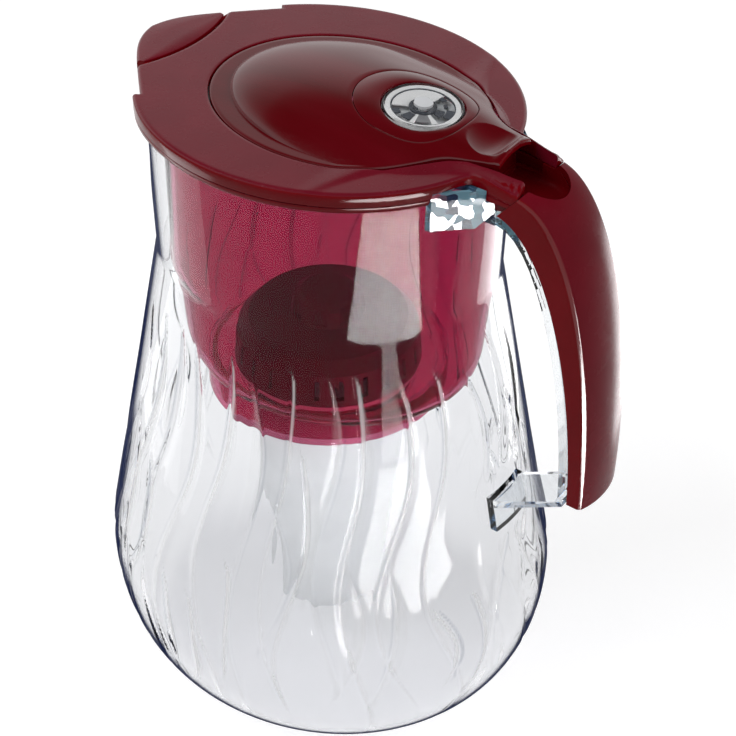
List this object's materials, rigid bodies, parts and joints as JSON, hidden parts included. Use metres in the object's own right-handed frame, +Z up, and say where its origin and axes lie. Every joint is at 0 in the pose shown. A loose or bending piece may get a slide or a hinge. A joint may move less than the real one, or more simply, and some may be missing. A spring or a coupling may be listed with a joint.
{
  "type": "water filter pitcher with flip lid",
  "caption": "Clear oval water pitcher with a drop-in funnel and filter cartridge, a domed flip-up lid hatch with a round counter window, a spout flap and a red handle cover.",
  "frame": {"origin": "middle of the vessel's flat base, on the surface it stands on", "axes": "+Z up, -X towards the spout, +X towards the handle; the XZ plane is the pitcher's plane of symmetry"},
  "size_m": [0.2273, 0.178, 0.2825],
  "materials": {
    "clear_plastic": "clear polished",
    "ruby_plastic": "see-through ruby",
    "red_plastic": "deep red gloss",
    "window_plastic": "clear polished",
    "white_plastic": "satin",
    "dark_plastic": "satin",
    "dial_plastic": "satin",
    "grey_plastic": "satin",
    "button_plastic": "silver gloss",
    "sorbent": "granular",
    "seal_rubber": "matte",
    "steel": "fine"
  },
  "bodies": {
    "jug": {"jug": "clear_plastic", "handle_frame": "clear_plastic", "handle_cover": "red_plastic"},
    "funnel": {"funnel": "ruby_plastic"},
    "cartridge": {"cartridge_shell": "white_plastic", "cartridge_cap": "dark_plastic", "cartridge_ring": "seal_rubber", "sorbent_bed": "sorbent", "upper_screen": "white_plastic", "lower_screen": "white_plastic"},
    "lid": {"lid": "red_plastic", "hatch_axle": "steel"},
    "hatch": {"hatch": "red_plastic", "counter_bezel": "red_plastic", "counter_window": "window_plastic", "counter_housing": "white_plastic", "check_spring": "steel", "button_spring": "steel"},
    "dial": {"counter_dial": "dial_plastic", "ratchet_wheel": "grey_plastic"},
    "button": {"counter_button": "button_plastic"},
    "spout_flap": {"spout_flap": "red_plastic"}
  },
  "joints": [
    {"name": "funnel_lift", "type": "slide", "parent": "jug", "child": "funnel", "axis": [0, 0, 1], "range_m": [0, 0.15]},
    {"name": "cartridge_lift", "type": "slide", "parent": "funnel", "child": "cartridge", "axis": [0, 0, 1], "range_m": [0, 0.075]},
    {"name": "lid_lift", "type": "slide", "parent": "funnel", "child": "lid", "axis": [0, 0, 1], "range_m": [0, 0.1]},
    {"name": "hatch_hinge", "type": "hinge", "parent": "lid", "child": "hatch", "pos_m": [0.072, 0, 0.271], "axis": [0, 1, 0], "range_deg": [0, 55]},
    {"name": "spout_flap_hinge", "type": "hinge", "parent": "lid", "child": "spout_flap", "pos_m": [-0.0683, 0, 0.2703], "axis": [0, 1, 0], "range_deg": [0, 60]},
    {"name": "dial_turn", "type": "hinge", "parent": "hatch", "child": "dial", "pos_m": [0.0422, 0, 0.2812], "axis": [0.0872, 0, 0.9962], "continuous": true},
    {"name": "button_press", "type": "slide", "parent": "hatch", "child": "button", "axis": [0.0872, 0, 0.9962], "range_m": [-0.0012, 0], "stiffness_N_per_m": 300, "springref_m": 0.001, "deforming": ["button_spring"]}
  ]
}
